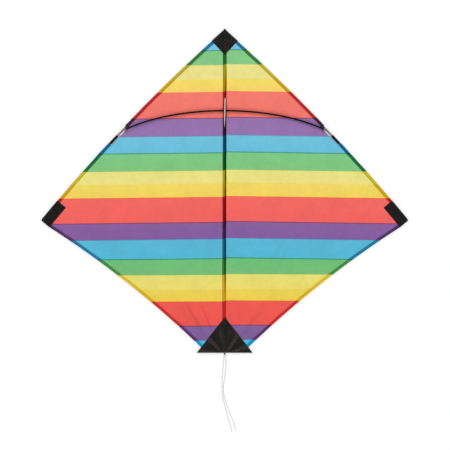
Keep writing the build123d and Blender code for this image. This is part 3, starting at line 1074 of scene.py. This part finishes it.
def nose_patch(side):
    rows = steps(NOSE_FOOT, TOP_Y, 1.25)[:, None]
    share = np.linspace(0, 1, 26)[None, :]
    x, y = nose_half_width(rows) * share, rows + 0 * share
    rise = nose_rise(x, y)
    upper = np.stack([x, y, ROD_Z + rise], axis=-1)
    lower = np.stack([x, y, ROD_Z - rise], axis=-1)
    edge = np.stack([x[:, -1] + 0.3, y[:, -1], 0 * y[:, -1] + ROD_Z], axis=-1)[:, None]
    grid = np.concatenate([lower, edge, upper[:, ::-1]], axis=1)
    name = SIDE_NAMES[side]
    half = patch_piece(f"nose_patch_{name}", grid, side)
    thicken(half, PATCH_CLOTH)
    bend(half, side, *FOLD)
    stands_for(half, "nose_patch")
    t = np.linspace(0.07, 0.93, 40)
    x = NOSE_SIDE[0] * t - 1.7
    y = NOSE_FOOT + (NOSE_SIDE[1] - NOSE_FOOT) * t + 1.7
    x, y = x[x > 0.6], y[x > 0.6]
    plan = np.column_stack([x, y])
    for face, layer in LAYERS.items():
        height = ROD_Z + face * (nose_rise(x, y) + PATCH_CLOTH / 2)
        row = sew(f"nose_stitching_{layer}_{name}", plan, height, face, side, "dark thread")
        bend(row, side, *FOLD)


def tail_fan(x, y, phase):
    """Gathered by the tie at the middle of the foot, the cloth puckers in a fan."""
    angle, reach = np.arctan2(x, y - FOOT_Y + 6), np.hypot(x, y - FOOT_Y + 6)
    fan = np.sin(11 * angle + phase) + 0.6 * np.sin(19 * angle + 2 * phase + 1)
    return fan * smooth(reach, 7, 24) * (1 - smooth(reach, 44, 92)) * smooth(x, 3, 12)


def tail_rise(x, y, phase):
    spine = ridge(x, 7.0, 2.8) * (0.35 + 0.65 * smooth(y, FOOT_Y, FOOT_Y + 7))
    reach = np.hypot(x, y - FOOT_Y + 6)
    loose = 0.35 * smooth(reach, 10, 30) * (1 - smooth(reach, 50, 95))
    rise = PATCH_GAP + loose + 1.1 * tail_fan(x, y, phase)
    return np.maximum(rise, PATCH_GAP - 0.1) + spine + 0.06 * ripples(x, y, PATCH_WAVES)


def tail_patch(side):
    """The cloth is folded at the foot and sewn together along its slanted sides."""
    name = SIDE_NAMES[side]
    rows = steps(TAIL_APEX, FOOT_Y + 0.5, 1.9)[:, None]
    share = np.linspace(0, 1, 44)[None, :]
    y = rows + 0 * share
    x = (0.05 + TAIL_HALF * (TAIL_APEX - rows) / (TAIL_APEX - FOOT_Y)) * share
    phases = {1: 0.4 + side, -1: 2.1 + side}
    upper, lower = (np.stack([x, y, ROD_Z + f * tail_rise(x, y, p)], axis=-1) for f, p in phases.items())
    bottom = TAIL_HALF * share[0]
    foot = 0 * bottom + FOOT_Y + 0.1
    fold = [np.column_stack([bottom, foot, 0 * bottom + ROD_Z + z])[None] for z in (0.4, -0.4)]
    grid = np.concatenate([upper, *fold, lower[::-1]])
    half = patch_piece(f"tail_patch_{name}", grid, side)
    # Painted highlight: the raised parts of the fan's folds are lightened in the cloth's colour.
    above, below = (np.clip(tail_fan(x, y, phase), 0, 1) for phase in phases.values())
    lit = np.concatenate([above, np.zeros((2, x.shape[1])), below[::-1]])
    fold_highlight = half.data.attributes.new("fold_highlight", "FLOAT", "POINT")
    fold_highlight.data.foreach_set("value", lit.ravel())
    thicken(half, PATCH_CLOTH)
    bend(half, side, *FOLD)
    stands_for(half, "tail_patch")
    t = np.linspace(0.06, 0.97, 60)
    x, y = TAIL_HALF * t - 2.2, TAIL_APEX + (FOOT_Y - TAIL_APEX) * t - 0.4
    x, y = x[x > 0.8], y[x > 0.8]
    plan = np.column_stack([x, y])
    for face, layer in LAYERS.items():
        height = ROD_Z + face * (tail_rise(x, y, phases[face]) + PATCH_CLOTH / 2)
        row = sew(f"tail_stitching_{layer}_{name}", plan, height, face, side, "dark thread")
        bend(row, side, *FOLD)


def pocket_rise(plan):
    x, y = plan[..., 0], plan[..., 1]
    inset = LEADING.inset_of(x, y)
    puff = 0.35 * smooth(inset, 8, 16) * (1 - smooth(inset, 22, 29))
    return PATCH_GAP + leading_hump(x, y) + puff * (1 + 0.5 * ripples(x, y, PATCH_WAVES))


def tip_pocket(side):
    """Cloth folded round the leading edge's end, sewn shut along its other sides."""
    name = SIDE_NAMES[side]
    corner = 3.5
    first = LEADING.length - POCKET_LENGTH
    across = np.concatenate([np.linspace(0, 12, 22), np.linspace(12.8, POCKET_WIDTH, 20)])
    from_corner = np.maximum(corner - across, 0)
    last = LEADING.length - corner + np.sqrt(corner**2 - from_corner**2)
    share = np.linspace(0, 1, 46)[:, None]
    stations = first + (last - first)[None, :] * share
    plan = LEADING.point(stations, across[None, :] + 0 * stations)
    rise = pocket_rise(plan)
    upper = np.concatenate([plan, (ROD_Z + rise)[..., None]], axis=-1)
    lower = np.concatenate([plan, (ROD_Z - rise)[..., None]], axis=-1)
    outside = LEADING.point(stations[:, 0], np.full(len(share), -0.35))
    edge = np.column_stack([outside, np.full(len(share), ROD_Z)])[:, None]
    grid = np.concatenate([lower[:, ::-1], edge, upper], axis=1)
    pocket = patch_piece(f"tip_pocket_cloth_{name}", grid, side)
    thicken(pocket, PATCH_CLOTH)
    stands_for(pocket, f"tip_pocket_{name}", f"{name}_wing")
    end = LEADING.length - 2.2
    top, inner = first + 2.2, POCKET_WIDTH - 2.2
    seams = {
        "outer": ((top, 1.4), (LEADING.length - 7, 1.4)),
        "upper": ((top, 9.5), (top, inner)),
        "inner": ((top, inner), (end, inner)),
        "end": ((end, 9.5), (end, inner)),
    }
    for title, (start, finish) in seams.items():
        station, inset = (np.linspace(a, b, 40) for a, b in zip(start, finish))
        plan = LEADING.point(station, inset)
        for face, layer in LAYERS.items():
            height = ROD_Z + face * (pocket_rise(plan) + PATCH_CLOTH / 2)
            row_name = f"pocket_stitching_{title}_{layer}_{name}"
            row = sew(row_name, plan, height, face, side, "dark thread")
            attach(row, f"{name}_wing")


for side in (RIGHT, LEFT):
    nose_patch(side)
    tail_patch(side)
    tip_pocket(side)


# Keeper strap that holds the spreader down on the spine


def keeper_height(y):
    """The strap's middle: flat on the sleeve where it is sewn, up and over the spreader between."""
    low, high = ROD_Z + 3.0, SPREADER_Z + SPREADER_R + 0.35
    bottom, top = KEEPER
    upper = smooth(-y, -(top - KEEPER_SEWN), -(SPREADER_APEX + 1.8))
    lower = smooth(y, bottom + KEEPER_SEWN, SPREADER_APEX - 1.8)
    return low + (high - low) * np.minimum(upper, lower)


def keeper_plan(y):
    """Where the strap's middle lies across the spine, and half its width."""
    bottom, top = KEEPER
    offset, lean = KEEPER_DRIFT
    centre = offset + lean * (y - bottom) / (top - bottom)
    return centre, KEEPER_HALF * (0.35 + 0.65 * smooth(y, bottom, bottom + 30))


def keeper_strap():
    bottom, top = KEEPER
    rows = steps(bottom, top, 1.3)[:, None]
    across = np.linspace(-1, 1, 7)[None, :]
    centre, half = keeper_plan(rows)
    slant = 2.4 * smooth(rows, top - 8, top)
    y = rows + (across - 1) * slant
    x = centre + half * across
    z = keeper_height(y) + 0.15 * (1 - across**2)
    points = np.stack([x, y, z], axis=-1).reshape(-1, 3)
    strap = mesh_piece("keeper_strap", points, grid_faces(len(rows), 7), MATERIALS["tape"])
    thicken(strap, KEEPER_THICK)
    stands_for(strap, "keeper_loop", "spine")
    for title, low, high in (("upper", top - 6.5, top - 2.5), ("lower", bottom + 1, bottom + 6)):
        for share in (-0.55, 0.55):
            places = np.linspace(low, high, 12)
            centre, half = keeper_plan(places)
            x = centre + half * share
            line = np.column_stack([x, places, keeper_height(places) + KEEPER_THICK / 2 + 0.12])
            up = np.tile([0, 0, 1], (len(line), 1))
            where = "left" if share < 0 else "right"
            row_name = f"keeper_stitching_{title}_{where}"
            row = stitches(row_name, line, up, MATERIALS["thread"], 1.5, 0.5, 0.2)
            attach(row, "spine")


keeper_strap()


# Moulded pieces, from the CAD's own shapes with their edges softened


def moulded(node, title, body, finish, voxel):
    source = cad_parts[node]
    mesh = source.data.copy()
    mesh.transform(source.matrix_world)
    mesh.materials.clear()
    mesh.materials.append(MATERIALS[finish])
    piece = placed(title, mesh)
    remesh = piece.modifiers.new("even faces", "REMESH")
    remesh.mode = "VOXEL"
    remesh.voxel_size = voxel * MM
    remesh.use_smooth_shade = True
    soften = piece.modifiers.new("soften", "SMOOTH")
    soften.factor, soften.iterations = 0.5, 5
    stands_for(piece, node, body)


for name in SIDE_NAMES.values():
    wing = f"{name}_wing"
    moulded(f"spreader_connector_{name}", f"connector_{name}", wing, "pvc", 0.42)
    moulded(f"connector_stopper_{name}", f"stopper_{name}", wing, "rubber", 0.4)


# Rods and caps keep the CAD's shape


def finish_cad_nodes():
    finishes = {"spine_rod": "rod", "spine_cap_nose": "vinyl", "spine_cap_tail": "vinyl"}
    for side in SIDE_NAMES.values():
        finishes[f"leading_edge_rod_{side}"] = "rod"
        finishes[f"leading_edge_cap_nose_{side}"] = "vinyl"
        finishes[f"leading_edge_cap_tip_{side}"] = "vinyl"
        finishes[f"spreader_cap_{side}"] = "vinyl"
    for node, finish in finishes.items():
        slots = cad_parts[node].data.materials
        slots.clear()
        slots.append(MATERIALS[finish])


finish_cad_nodes()


# Floor and light


def floor():
    mesh = bpy.data.meshes.new("floor")
    half = 6.0
    corners = [(-half, -half, 0), (half, -half, 0), (half, half, 0), (-half, half, 0)]
    mesh.from_pydata(corners, [], [(0, 1, 2, 3)])
    m = Material(
        "floor",
        Roughness=0.9,
        Specular_IOR_Level=0.1,
        Base_Color=(0.42, 0.42, 0.42, 1),
        Emission_Color=(1, 1, 1, 1),
        Emission_Strength=0.5,
    )
    mesh.materials.append(m.made)
    made = placed("floor", mesh)
    made.location.z = -0.0002


def area_light(name, place, size, power):
    data = bpy.data.lights.new(name, "AREA")
    data.shape = "DISK"
    data.size = size
    data.energy = power
    light = placed(name, data)
    light.location = place
    aim = Vector((0, 0, 0)) - Vector(place)
    light.rotation_euler = aim.to_track_quat("-Z", "Y").to_euler()


def lighting():
    """Bright from low on every side, as in a light tent, and dimmer straight above."""
    world = bpy.data.worlds.new("studio")
    bpy.context.scene.world = world
    world.use_nodes = True
    background = world.node_tree.nodes["Background"]
    background.inputs["Color"].default_value = (1, 1, 1, 1)
    background.inputs["Strength"].default_value = 0.55
    for index, turn in enumerate((35, 125, 215, 305)):
        x, y = 2.3 * math.cos(math.radians(turn)), 2.3 * math.sin(math.radians(turn))
        area_light(f"tent_{index}", (x, y - 0.05, 2.0), 1.5, 26.5 if y > 0 else 23.5)
    bpy.context.scene.view_settings.view_transform = "Standard"


floor()
lighting()
